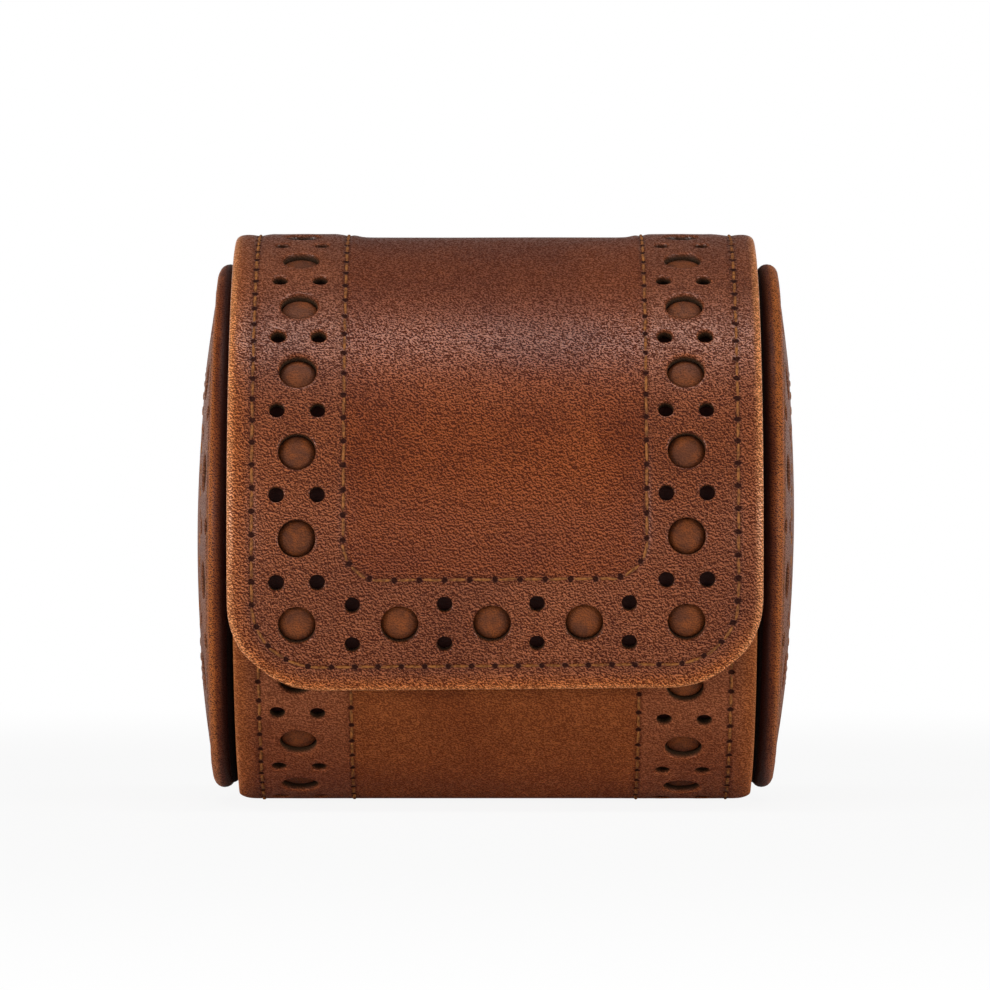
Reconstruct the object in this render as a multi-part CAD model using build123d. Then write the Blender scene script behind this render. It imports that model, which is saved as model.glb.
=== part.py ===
"""Leather watch roll: a round padded case with a punched wrap-over flap and a watch cushion inside.

Millimetres. X runs left to right, the front faces -Y and Z is up. The origin is the centre of the
flat that the roll rests on. Angles are taken about the X axis from the back (+Y) over the top (+Z),
so the top is 90, the front is 180 and the underside is 270 degrees.
"""

from build123d import *
import os
from math import asin, atan2, cos, degrees, radians, sin, sqrt

# Thicknesses of leather, board and lining
LEATHER = 1.6
UNDERLAY = 0.5
SHELL_BOARD = 1.8
FLAP_BOARD = 0.6
LINING = 0.6

# Case: a trough of round section with a narrow flat to rest on
CASE_RADIUS = 42.2
FLAT_WIDTH = 14.2
CASE_HALF_LENGTH = 38.3
FRONT_EDGE_ANGLE = 172.0
HINGE_ANGLE = 44.5
BINDING = 0.7
BINDING_LEG = 6.0

# Flap: two tangent arcs, from the hinge over the top and down the front
FLAP_OVERHANG = 0.65
FLAP_FORWARD = 0.8
FLAP_DROP = 2.1
FLAP_TIP_ANGLE = 209.7
FLAP_CORNER = 13.9
FLAP_BOARD_INSET = 4.0
FLAP_LINING_INSET = 1.0
HINGE_GAP = 0.3
HINGE_STRIP = 0.5
HINGE_STRIP_REACH = 11.0
HINGE_STRIP_TAIL = 4.0
HINGE_STRIP_INSET = 5.0

# Punched holes, in a row along each side band and across the flap's lower edge
HOLE = 5.5
HOLE_SIDES = 6
BAND_MARGIN = 10.7
ROW_PITCH = 12.75
FIRST_CASE_ROW = 32.1
LAST_ROW_MARGIN = 5.0
EDGE_ROW = 10.9
EDGE_ROW_PITCH = 13.4
EDGE_ROW_COUNT = 3
PUNCH_OVERRUN = 1.0

# Ends: a board plugged into the case, with a padded, domed and piped cap outside it
END_BOARD = 2.0
CAP_INSET = 2.7
CAP_SINK = 0.55
PIPING = 3.1
PIPING_STANDOFF = 0.95
PIPING_FOOT = 1.9
SECTION_TURN = 60.0
DOME_RISE = 3.9
DOME_STEPS = 3
ROUND_SIDES = 36
PAD_RIM = 0.58
CAP_CLEARANCE = 0.05
RING_MARGIN = 9.1
RING_COUNT = 12

# Square magnets that hold the flap shut, in pockets in the two boards
MAGNET = 8.0
MAGNET_THICKNESS = 0.8
MAGNET_OFFSET = 14.0
MAGNET_EDGE = 2.7
MAGNET_PLAY = 0.05
POCKET_CLEARANCE = 0.1
POCKET_SKIN = 0.35

# Cushion that the watch is strapped round
STRAP_ROOM = 9.7
CUSHION_END_GAP = 0.9
CUSHION_COVER = 1.4
CUSHION_RIM = 0.8
CUSHION_CROWN = 1.6
CUSHION_CROWN_FOOT = 0.6
REST_CLEARANCE = 0.3

# Worked out from the driving dimensions
AXIS = (0, sqrt(CASE_RADIUS**2 - (FLAT_WIDTH / 2) ** 2))
SHELL_OUTSIDE = LEATHER + UNDERLAY
SHELL_INSIDE = SHELL_OUTSIDE + SHELL_BOARD
CASE_WALL = SHELL_INSIDE + LINING
FLAP_BOARD_OUTSIDE = LEATHER + UNDERLAY
FLAP_BOARD_INSIDE = FLAP_BOARD_OUTSIDE + FLAP_BOARD
FLAP_WALL = FLAP_BOARD_INSIDE + LINING
FLAP_HALF_LENGTH = CASE_HALF_LENGTH + FLAP_OVERHANG
BAND_OFFSET = FLAP_HALF_LENGTH - BAND_MARGIN
END_BOARD_INSIDE = CASE_HALF_LENGTH - END_BOARD
INNER_HALF_LENGTH = END_BOARD_INSIDE - LINING
FULL_TURN = 360.0
TOP = 90.0
FAR = 4 * CASE_RADIUS


def polar(centre, radius, angle):
    """A point (y, z) at a radius and angle from a centre."""
    return (centre[0] + radius * cos(radians(angle)), centre[1] + radius * sin(radians(angle)))


def along(length, radius):
    """The angle that a length covers round an arc."""
    return degrees(length / radius)


# The flap's front arc is round FLAP_CENTRE, and its back arc runs from the top to the hinge
HINGE = polar(AXIS, CASE_RADIUS, HINGE_ANGLE)
FLAP_RADIUS = CASE_RADIUS + FLAP_WALL
FLAP_CENTRE = (-FLAP_FORWARD, AXIS[1] - FLAP_DROP)
HINGE_RUN = HINGE[0] - FLAP_CENTRE[0]
HINGE_FALL = FLAP_CENTRE[1] + FLAP_RADIUS - HINGE[1]
BACK_RADIUS = (HINGE_RUN**2 + HINGE_FALL**2) / (2 * HINGE_FALL)
BACK_CENTRE = (FLAP_CENTRE[0], FLAP_CENTRE[1] + FLAP_RADIUS - BACK_RADIUS)
FLAP_HINGE_ANGLE = degrees(atan2(HINGE[1] - BACK_CENTRE[1], HINGE[0] - BACK_CENTRE[0]))
FRONT_LENGTH = radians(FLAP_TIP_ANGLE - TOP) * FLAP_RADIUS
FLAP_LENGTH = FRONT_LENGTH + radians(TOP - FLAP_HINGE_ANGLE) * BACK_RADIUS
CASE_LENGTH = radians(FULL_TURN + HINGE_ANGLE - FRONT_EDGE_ANGLE) * CASE_RADIUS
CASE_BACK_ANGLE = FULL_TURN + HINGE_ANGLE - along(HINGE_GAP / 2, CASE_RADIUS)
BOUND_EDGE_ANGLE = FRONT_EDGE_ANGLE + along(BINDING, CASE_RADIUS)

# Caps: a dome through the piping's inner edge, about an axis a little below the case's own
CAP_AXIS_HEIGHT = AXIS[1] - CAP_SINK
CAP_RADIUS = CASE_RADIUS - CAP_INSET
RING_RADIUS = CAP_RADIUS - RING_MARGIN
PIPING_RING = CAP_RADIUS - PIPING / 2
PIPING_PLANE = CASE_HALF_LENGTH + PIPING_STANDOFF + PIPING / 2
DOME_EDGE = PIPING_RING - PIPING / 2 - CAP_CLEARANCE
DOME_RADIUS = (PIPING_RING**2 + DOME_RISE**2) / (2 * DOME_RISE)
PAD_RISE = sqrt((DOME_RADIUS - SHELL_OUTSIDE) ** 2 - DOME_EDGE**2)
DOME_CENTRE = CASE_HALF_LENGTH + PAD_RIM - PAD_RISE

# Magnets: their height, a little below the case's front edge
MAGNET_ANGLE = FRONT_EDGE_ANGLE + along(MAGNET_EDGE + MAGNET / 2, CASE_RADIUS)
MAGNET_HEIGHT = polar(AXIS, CASE_RADIUS, MAGNET_ANGLE)[1]

# Cushion: as large as the bore and the straps leave room for
CUSHION_RADIUS = CASE_RADIUS - CASE_WALL - STRAP_ROOM
CUSHION_HALF_LENGTH = INNER_HALF_LENGTH - CUSHION_END_GAP
CUSHION_HEIGHT = CASE_WALL + REST_CLEARANCE + CUSHION_RADIUS


def case_section(depth):
    """The whole round section of the case, in from its outer face by a depth, flat at the foot."""
    ground = Pos(0, depth - FAR / 2) * Rectangle(FAR, FAR)
    return Pos(*AXIS) * Circle(CASE_RADIUS - depth) - ground


def wedge(start, end):
    """The part of a section between two angles of less than half a turn."""
    middle = (start + end) / 2
    corners = [AXIS, polar(AXIS, FAR, start), polar(AXIS, FAR, middle), polar(AXIS, FAR, end)]
    return make_face(Polyline(*corners, close=True))


def across(section, half_length):
    """A section in the Y-Z plane, drawn out to both sides."""
    return extrude(Plane.YZ * section, half_length, both=True)


def slab(section, start, end):
    """A section in the Y-Z plane, drawn out from one X to another."""
    return extrude(Plane.YZ.offset(start) * section, end - start)


def trough(outside, inside, half_length, front=BOUND_EDGE_ANGLE):
    """A layer of the case wall between two depths, open at the mouth."""
    mouth = wedge(CASE_BACK_ANGLE - FULL_TURN, front)
    return across(case_section(outside) - case_section(inside) - mouth, half_length)


def flap_layer(outside, inside, inset):
    """A layer of the flap between two depths, with the flap's rounded corners, in by an inset."""
    half_length = FLAP_HALF_LENGTH - inset
    start = FLAP_HINGE_ANGLE + along(max(inset, HINGE_GAP / 2), BACK_RADIUS)
    tip = FLAP_TIP_ANGLE - along(inset, FLAP_RADIUS)
    arcs = []
    for depth in (outside, inside):
        arcs.append(CenterArc(BACK_CENTRE, BACK_RADIUS - depth, start, TOP - start))
        arcs.append(CenterArc(FLAP_CENTRE, FLAP_RADIUS - depth, TOP, tip - TOP))
    for centre, radius, angle in ((BACK_CENTRE, BACK_RADIUS, start), (FLAP_CENTRE, FLAP_RADIUS, tip)):
        arcs.append(Line(polar(centre, radius - outside, angle), polar(centre, radius - inside, angle)))
    layer = across(make_face(Curve() + arcs), half_length)
    corner = FLAP_CORNER - inset
    plane = flap_plane(0, inset + corner / 2)
    square = Rectangle(2 * corner, 2 * corner)
    round_end = Circle(corner)
    for side in (-1, 1):
        centre = side * (half_length - corner)
        cut = Pos(centre + side * corner, -corner / 2) * square
        cut -= Pos(centre, corner / 2) * round_end
        cut -= Pos(centre, corner / 2 + corner) * Rectangle(FAR, 2 * corner)
        layer -= extrude(plane * cut, corner, both=True)
    return layer


def radial_plane(centre, radius, angle, x):
    """A plane that touches a round surface, facing outwards."""
    y, z = polar(centre, radius, angle)
    return Plane(origin=(x, y, z), x_dir=(1, 0, 0), z_dir=(0, cos(radians(angle)), sin(radians(angle))))


def case_plane(x, distance):
    """A plane on the case's outer face, a distance round from its front edge."""
    angle = FRONT_EDGE_ANGLE + along(distance, CASE_RADIUS)
    foot = polar(AXIS, CASE_RADIUS, angle)
    if abs(foot[0]) < FLAT_WIDTH / 2 and foot[1] < AXIS[1]:
        return Plane(origin=(x, foot[0], 0), x_dir=(1, 0, 0), z_dir=(0, 0, -1))
    return radial_plane(AXIS, CASE_RADIUS, angle, x)


def flap_plane(x, distance):
    """A plane on the flap's outer face, a distance up from its lower edge."""
    if distance < FRONT_LENGTH:
        return radial_plane(FLAP_CENTRE, FLAP_RADIUS, FLAP_TIP_ANGLE - along(distance, FLAP_RADIUS), x)
    return radial_plane(BACK_CENTRE, BACK_RADIUS, TOP - along(distance - FRONT_LENGTH, BACK_RADIUS), x)


def rows(first, length):
    """Distances of the rows of holes along a band, up to the last margin."""
    count = int((length - LAST_ROW_MARGIN - first) / ROW_PITCH) + 1
    return [first + ROW_PITCH * k for k in range(count)]


def case_pattern():
    """Planes of the holes on the case's two side bands."""
    distances = rows(FIRST_CASE_ROW, CASE_LENGTH)
    return [case_plane(side * BAND_OFFSET, d) for side in (-1, 1) for d in distances]


def flap_pattern():
    """Planes of the holes on the flap's side bands and along its lower edge."""
    distances = rows(EDGE_ROW, FLAP_LENGTH)
    planes = [flap_plane(side * BAND_OFFSET, d) for side in (-1, 1) for d in distances]
    middle = (EDGE_ROW_COUNT - 1) / 2
    planes += [flap_plane((k - middle) * EDGE_ROW_PITCH, EDGE_ROW) for k in range(EDGE_ROW_COUNT)]
    return planes


def punches(planes):
    """Punches through the outer leather, one at each plane."""
    hole = RegularPolygon(HOLE / 2, HOLE_SIDES)
    sunk = LEATHER + UNDERLAY / 2
    return [extrude(p.offset(-sunk) * hole, sunk + PUNCH_OVERRUN) for p in planes]


def magnet_planes(centre, radius):
    """Planes that face outwards at the magnets' height on the front of a round layer."""
    angle = FULL_TURN / 2 - degrees(asin((MAGNET_HEIGHT - centre[1]) / radius))
    return [radial_plane(centre, radius, angle, side * MAGNET_OFFSET) for side in (-1, 1)]


def plates(planes, width, start, end):
    """Square plates on planes, between two heights."""
    return [extrude(p.offset(start) * Rectangle(width, width), end - start) for p in planes]


def turned(outline, height):
    """A many-sided solid about an axis along X, from the outline of its face in X and radius."""
    turns = [radians(FULL_TURN * k / ROUND_SIDES) for k in range(ROUND_SIDES)]
    rings = [[Vector(x, r * cos(t), height + r * sin(t)) for t in turns] for x, r in outline]
    faces = [Face(Wire.make_polygon(ring)) for ring in (rings[0], rings[-1])]
    for low, high in zip(rings, rings[1:]):
        for k in range(ROUND_SIDES):
            faces.append(Face(Wire.make_polygon([low[k - 1], low[k], high[k], high[k - 1]])))
    return Part() + Solid(Shell(faces))


def dome_edge(depth, radius):
    """X of the dome at a radius, in from its outer face by a depth."""
    return DOME_CENTRE + sqrt((DOME_RADIUS - depth) ** 2 - radius**2)


def dome(depth):
    """The whole pad from the end board's face to the dome, in from the dome's outer face by a depth."""
    radii = [DOME_EDGE * (1 - k / (DOME_STEPS + 1)) for k in range(DOME_STEPS + 1)]
    outline = [(dome_edge(depth, r), r) for r in radii]
    return turned([(CASE_HALF_LENGTH, DOME_EDGE)] + outline, CAP_AXIS_HEIGHT)


def piping():
    """The piping: a rolled rim of many-sided section, on a foot that is sewn to the end board."""
    half, slope = PIPING / 2, PIPING / 2 * sin(radians(SECTION_TURN))
    outer = [(PIPING_PLANE - half, PIPING_RING), (PIPING_PLANE - half / 2, PIPING_RING + slope)]
    outer += [(PIPING_PLANE + half / 2, PIPING_RING + slope), (PIPING_PLANE + half, PIPING_RING)]
    inner = [(x, 2 * PIPING_RING - r) for x, r in outer]
    foot_end = PIPING_PLANE - half / 2
    foot_low, foot_high = PIPING_RING - PIPING_FOOT / 2, PIPING_RING + PIPING_FOOT / 2
    foot = turned([(CASE_HALF_LENGTH, foot_high), (foot_end, foot_high)], CAP_AXIS_HEIGHT)
    foot -= turned([(CASE_HALF_LENGTH, foot_low), (foot_end, foot_low)], CAP_AXIS_HEIGHT)
    return turned(outer, CAP_AXIS_HEIGHT) - turned(inner, CAP_AXIS_HEIGHT) + foot


def cap_plane(radius, angle):
    """A plane on the dome's outer face, facing outwards."""
    y, z = polar((0, CAP_AXIS_HEIGHT), radius, angle)
    lean = asin(radius / DOME_RADIUS)
    out = (cos(lean), sin(lean) * cos(radians(angle)), sin(lean) * sin(radians(angle)))
    return Plane(origin=(dome_edge(0, radius), y, z), x_dir=(0, -out[2], out[1]), z_dir=out)


def cap_pattern():
    """Planes of the ring of holes in the right cap."""
    step = FULL_TURN / RING_COUNT
    return [cap_plane(RING_RADIUS, (k + 0.5) * step) for k in range(RING_COUNT)]


def case_nodes():
    """Everything of the trough itself."""
    planes = magnet_planes(AXIS, CASE_RADIUS - SHELL_INSIDE)
    pocket_top = SHELL_BOARD - POCKET_SKIN
    pockets = plates(planes, MAGNET + 2 * POCKET_CLEARANCE, -SHELL_BOARD, pocket_top)
    magnet_top = pocket_top - MAGNET_PLAY
    magnets = Compound(plates(planes, MAGNET, magnet_top - MAGNET_THICKNESS, magnet_top))

    edge = wedge(FRONT_EDGE_ANGLE, BOUND_EDGE_ANGLE)
    binding = across((case_section(0) - case_section(SHELL_INSIDE)) & edge, CASE_HALF_LENGTH)
    leg = case_section(CASE_WALL) - case_section(CASE_WALL + BINDING)
    leg &= wedge(FRONT_EDGE_ANGLE, FRONT_EDGE_ANGLE + along(BINDING_LEG, CASE_RADIUS - CASE_WALL))
    leg += (case_section(SHELL_INSIDE) - case_section(CASE_WALL)) & edge
    binding += across(leg, INNER_HALF_LENGTH)

    bore = CASE_RADIUS - CASE_WALL
    strip = case_section(CASE_WALL) - case_section(CASE_WALL + HINGE_STRIP)
    strip &= wedge(HINGE_ANGLE - along(HINGE_STRIP_REACH, bore), HINGE_ANGLE + along(HINGE_STRIP_TAIL, bore))
    return {
        "wrap_leather": trough(0, LEATHER, CASE_HALF_LENGTH) - punches(case_pattern()),
        "wrap_underlay": trough(LEATHER, SHELL_OUTSIDE, CASE_HALF_LENGTH),
        "case_shell": trough(SHELL_OUTSIDE, SHELL_INSIDE, CASE_HALF_LENGTH) - pockets,
        "case_magnets": magnets,
        "case_lining": trough(SHELL_INSIDE, CASE_WALL, END_BOARD_INSIDE),
        "mouth_binding": binding,
        "hinge_strip": across(strip, END_BOARD_INSIDE - HINGE_STRIP_INSET),
    }


def flap_nodes():
    """Everything that opens with the flap."""
    planes = magnet_planes(FLAP_CENTRE, FLAP_RADIUS)
    skin_face = sqrt((FLAP_RADIUS - LEATHER) ** 2 - (MAGNET / 2) ** 2) - FLAP_RADIUS
    middle = (skin_face - FLAP_BOARD_INSIDE) / 2
    magnets = plates(planes, MAGNET, middle - MAGNET_THICKNESS / 2, middle + MAGNET_THICKNESS / 2)
    pockets = plates(planes, MAGNET + 2 * POCKET_CLEARANCE, -FLAP_WALL, 0)
    leather = flap_layer(0, LEATHER, 0) - punches(flap_pattern())
    return {
        "flap_leather": leather,
        "flap_underlay": flap_layer(LEATHER, FLAP_BOARD_OUTSIDE, FLAP_LINING_INSET) - pockets,
        "flap_board": flap_layer(FLAP_BOARD_OUTSIDE, FLAP_BOARD_INSIDE, FLAP_BOARD_INSET) - pockets,
        "flap_lining": flap_layer(FLAP_BOARD_INSIDE, FLAP_WALL, FLAP_LINING_INSET),
        "flap_magnets": Compound(magnets),
    }


def right_end_nodes():
    """The right end, from the lining inside to the domed cap outside."""
    foam = dome(SHELL_OUTSIDE)
    return {
        "end_lining": slab(case_section(CASE_WALL), INNER_HALF_LENGTH, END_BOARD_INSIDE),
        "end_board": slab(case_section(SHELL_INSIDE), END_BOARD_INSIDE, CASE_HALF_LENGTH),
        "cap_foam": foam,
        "cap_underlay": dome(LEATHER) - foam,
        "cap_leather": dome(0) - dome(LEATHER) - punches(cap_pattern()),
        "cap_piping": piping(),
    }


def cushion_nodes():
    """The cushion: a foam roll, its cover and two crowned ends."""
    core_half = CUSHION_HALF_LENGTH - CUSHION_RIM - CUSHION_CROWN
    ring = Circle(CUSHION_RADIUS) - Circle(CUSHION_RADIUS - CUSHION_COVER)
    rim = core_half + CUSHION_RIM
    crown_foot = CUSHION_RADIUS * CUSHION_CROWN_FOOT
    outline = [(core_half, CUSHION_RADIUS), (rim, CUSHION_RADIUS), (CUSHION_HALF_LENGTH, crown_foot)]
    end = turned(outline, CUSHION_HEIGHT)
    place = Pos(0, 0, CUSHION_HEIGHT)
    return {
        "cushion_core": place * across(Circle(CUSHION_RADIUS - CUSHION_COVER), core_half),
        "cushion_cover": place * across(ring, core_half),
        "right_cushion_end": end,
        "left_cushion_end": mirror(end, Plane.YZ),
    }


nodes = {**case_nodes(), **flap_nodes(), **cushion_nodes()}
for name, solid in right_end_nodes().items():
    nodes["right_" + name] = solid
    nodes["left_" + name] = mirror(solid, Plane.YZ)

os.makedirs("parts", exist_ok=True)
for name, solid in nodes.items():
    export_step(solid, f"parts/{name}.step")
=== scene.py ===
import bmesh
import bpy
import random
from bisect import bisect_left
from math import atan2, cos, exp, hypot, pi, radians, sin, sqrt
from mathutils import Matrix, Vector, noise


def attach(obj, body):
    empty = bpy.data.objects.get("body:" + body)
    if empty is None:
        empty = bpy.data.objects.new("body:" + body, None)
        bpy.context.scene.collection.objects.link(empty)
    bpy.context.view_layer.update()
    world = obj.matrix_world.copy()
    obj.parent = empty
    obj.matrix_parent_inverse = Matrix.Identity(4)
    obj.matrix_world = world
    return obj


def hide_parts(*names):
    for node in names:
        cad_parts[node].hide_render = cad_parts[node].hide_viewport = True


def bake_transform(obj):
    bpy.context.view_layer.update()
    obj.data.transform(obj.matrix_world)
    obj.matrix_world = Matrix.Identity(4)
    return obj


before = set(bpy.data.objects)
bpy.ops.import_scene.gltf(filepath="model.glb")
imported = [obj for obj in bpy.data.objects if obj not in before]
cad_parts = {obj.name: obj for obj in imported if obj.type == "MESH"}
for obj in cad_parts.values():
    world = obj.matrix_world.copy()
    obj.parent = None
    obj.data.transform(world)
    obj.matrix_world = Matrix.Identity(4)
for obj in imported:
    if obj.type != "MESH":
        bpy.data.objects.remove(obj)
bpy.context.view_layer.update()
mm = 0.001
scene = bpy.context.scene
print("frame loaded")


# camera, at the height and distance that the rows of holes give

view = {"distance": 1.096, "height": 0.0457, "side": 0.0, "lens": 263.6, "sensor": 36.0}

bpy.ops.object.select_all(action="DESELECT")
bpy.ops.object.camera_add(location=(view["side"], -view["distance"], view["height"]), rotation=(pi / 2, 0, 0))
camera = bpy.context.object
camera.name = "photoCamera"
camera.data.lens = view["lens"]
camera.data.sensor_width = view["sensor"]
camera.data.clip_start = 0.05
camera.data.clip_end = 30
scene.camera = camera
scene.view_settings.view_transform = "Standard"
print("camera set")


# helpers for shader trees

def tone(red, green, blue):
    # a colour given on a 0 to 255 scale, as the shader wants it
    linear = [c / 3294.6 if c <= 10 else ((c / 255 + 0.055) / 1.055) ** 2.4 for c in (red, green, blue)]
    return (*linear, 1.0)


def fill(tree, node, inputs):
    # a socket is linked, and anything else becomes the input's own value
    for key, value in inputs.items():
        if isinstance(value, bpy.types.NodeSocket):
            tree.links.new(value, node.inputs[key])
        else:
            node.inputs[key].default_value = value


def add(tree, kind, inputs=None, **settings):
    made = tree.nodes.new("ShaderNode" + kind)
    for key, value in settings.items():
        setattr(made, key, value)
    fill(tree, made, inputs or {})
    return made


def calc(tree, operation, a, b=0.0):
    return add(tree, "Math", {0: a, 1: b}, operation=operation).outputs[0]


def times(tree, a, b):
    return calc(tree, "MULTIPLY", a, b)


def plus(tree, a, b):
    return calc(tree, "ADD", a, b)


def minus(tree, a, b):
    return calc(tree, "SUBTRACT", a, b)


def spread(tree, value, low, high, toLow=0.0, toHigh=1.0):
    # smooth step from low to high
    ends = {"Value": value, "From Min": low, "From Max": high, "To Min": toLow, "To Max": toHigh}
    return add(tree, "MapRange", ends, interpolation_type="SMOOTHSTEP").outputs["Result"]


def blendColour(tree, mask, under, over, mode="MIX"):
    return add(tree, "Mix", {0: mask, 6: under, 7: over}, data_type="RGBA", blend_type=mode).outputs[2]


def part(tree, vector, axis):
    return add(tree, "SeparateXYZ", {0: vector}).outputs[axis]


def attribute(tree, name, output="Fac"):
    return add(tree, "Attribute", attribute_name=name).outputs[output]


def newGroup(name, takes, gives):
    tree = bpy.data.node_groups.new(name, "ShaderNodeTree")
    for label, kind, value in takes:
        socket = tree.interface.new_socket(label, in_out="INPUT", socket_type="NodeSocket" + kind)
        if value is not None:
            socket.default_value = value
    for label in gives:
        tree.interface.new_socket(label, in_out="OUTPUT", socket_type="NodeSocketFloat")
    return tree, tree.nodes.new("NodeGroupInput").outputs, tree.nodes.new("NodeGroupOutput").inputs


def useGroup(tree, group, inputs):
    return add(tree, "Group", inputs, node_tree=group).outputs


def newMaterial(name):
    made = bpy.data.materials.new(name)
    made.use_nodes = True
    tree = made.node_tree
    return made, tree, tree.nodes["Principled BSDF"], add(tree, "TexCoord").outputs["Object"]


def finishShader(tree, shader, height, distance, inputs):
    bump = add(tree, "Bump", {"Height": height, "Distance": distance})
    fill(tree, shader, dict(inputs, Normal=bump.outputs["Normal"]))


# grain: a noise set against itself a little higher up, which looks embossed and lit from above: painted
# highlight and shade

emboss = {"scale": 2.1, "wander": 0.4, "rise": 0.00012, "lean": 0.4, "topShare": 0.25, "topFrom": 0.14,
          "topTo": 0.22, "creaseShare": 0.5, "creaseFrom": 0.245, "creaseTo": 0.15}
pebbleGroup, gin, gout = newGroup(
    "pebbleGrainAndPaintedLight", [("Vector", "Vector", None), ("Cell Size", "Float", 0.0005)], ["Height", "ShadedCrease"])
t = pebbleGroup
grainScale = times(t, calc(t, "DIVIDE", 1.0, gin["Cell Size"]), emboss["scale"])
worms, above = [
    add(t, "TexNoise", {
        "Vector": add(t, "VectorMath", {0: gin["Vector"], 1: (emboss["lean"] * up, 0, up)}).outputs[0],
        "Detail": 1.0, "Scale": grainScale, "Distortion": emboss["wander"]}).outputs["Fac"]
    for up in (0.0, emboss["rise"])]
tilt = minus(t, worms, above)  # above zero on the upper side of each pebble, which gets painted highlight
tops = plus(t, tilt, times(t, worms, emboss["topShare"]))
creasedAndShaded = plus(t, tilt, times(t, worms, emboss["creaseShare"]))
t.links.new(spread(t, tops, emboss["topFrom"], emboss["topTo"]), gout["Height"])
t.links.new(spread(t, creasedAndShaded, emboss["creaseFrom"], emboss["creaseTo"]), gout["ShadedCrease"])


# burnishing: soft clouds of light and dark

mottleGroup, gin, gout = newGroup(
    "burnish", [("Vector", "Vector", None), ("Size", "Float", 0.03), ("Low", "Float", 0.35),
                ("High", "Float", 0.68)], ["Mask"])
t = mottleGroup
cloud = add(t, "TexNoise", {"Vector": gin["Vector"], "Scale": calc(t, "DIVIDE", 1.0, gin["Size"]),
                            "Detail": 5.0, "Roughness": 0.62, "Distortion": 0.6})
t.links.new(spread(t, cloud.outputs["Fac"], gin["Low"], gin["High"]), gout["Mask"])


# the dimple where each stitch goes in and the groove that the row lies in, in millimetres from the row

pulledIn = {"narrow": 1.15, "dimpleOut": 0.5, "dimpleIn": 0.3, "grooveOut": 0.75, "grooveIn": 0.15}
stitchGroup, gin, gout = newGroup(
    "stitchRow", [("Side", "Float", 9.0), ("Run", "Float", 0.0), ("Pitch", "Float", 3.4)],
    ["Dimple", "Groove"])
t = stitchGroup
turns = plus(t, calc(t, "DIVIDE", gin["Run"], gin["Pitch"]), 0.5)
away = times(t, minus(t, calc(t, "FRACT", turns), 0.5), gin["Pitch"])
squares = [calc(t, "POWER", calc(t, "ABSOLUTE", distance), 2.0)
           for distance in (away, times(t, gin["Side"], pulledIn["narrow"]))]
gap = calc(t, "SQRT", plus(t, *squares))
t.links.new(spread(t, gap, pulledIn["dimpleOut"], pulledIn["dimpleIn"]), gout["Dimple"])
aside = calc(t, "ABSOLUTE", gin["Side"])
t.links.new(spread(t, aside, pulledIn["grooveOut"], pulledIn["grooveIn"]), gout["Groove"])


# wear along an edge, a little ragged; it also masks painted highlight on the lips and painted light on the
# margins

edgeGroup, gin, gout = newGroup(
    "edgeWearAndPaintedLight", [("Distance", "Float", 9.0), ("Width", "Float", 1.0), ("Vector", "Vector", None),
                 ("Ragged", "Float", 0.5)], ["Mask"])
t = edgeGroup
chips = add(t, "TexNoise", {"Vector": gin["Vector"], "Scale": 900.0, "Detail": 4.0, "Roughness": 0.7})
pulled = times(t, minus(t, chips.outputs["Fac"], 0.5), gin["Ragged"])
measured = plus(t, calc(t, "DIVIDE", gin["Distance"], gin["Width"]), pulled)
t.links.new(spread(t, measured, 1.0, 0.0), gout["Mask"])
print("shader groups made")


# leather that shows its rows of stitches, bands and worn edges through the attributes of its mesh

byPlace = {"lowFrom": 0.031, "lowTo": 0.02, "side": 0.03, "topFrom": 0.064, "topTo": 0.082, "topGrain": 0.6,
           "tableFrom": 0.013, "tableTo": 0.001, "tableGlow": (1.4, 1.38, 1.3, 1.0)}
mixed = {"streakSize": 0.006, "streak": 0.22, "marginRagged": 0.25, "lipRagged": 0.5, "lipGrain": 0.25,
         "groove": 0.3, "wallFrom": 0.05, "wallTo": 0.75, "shadedDimple": 0.92, "roughCrease": 0.22,
         "roughMottle": 0.04, "roughDimple": 0.5, "coatRough": 0.34, "dimpleDepth": 0.35, "grooveDepth": 0.05}


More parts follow.
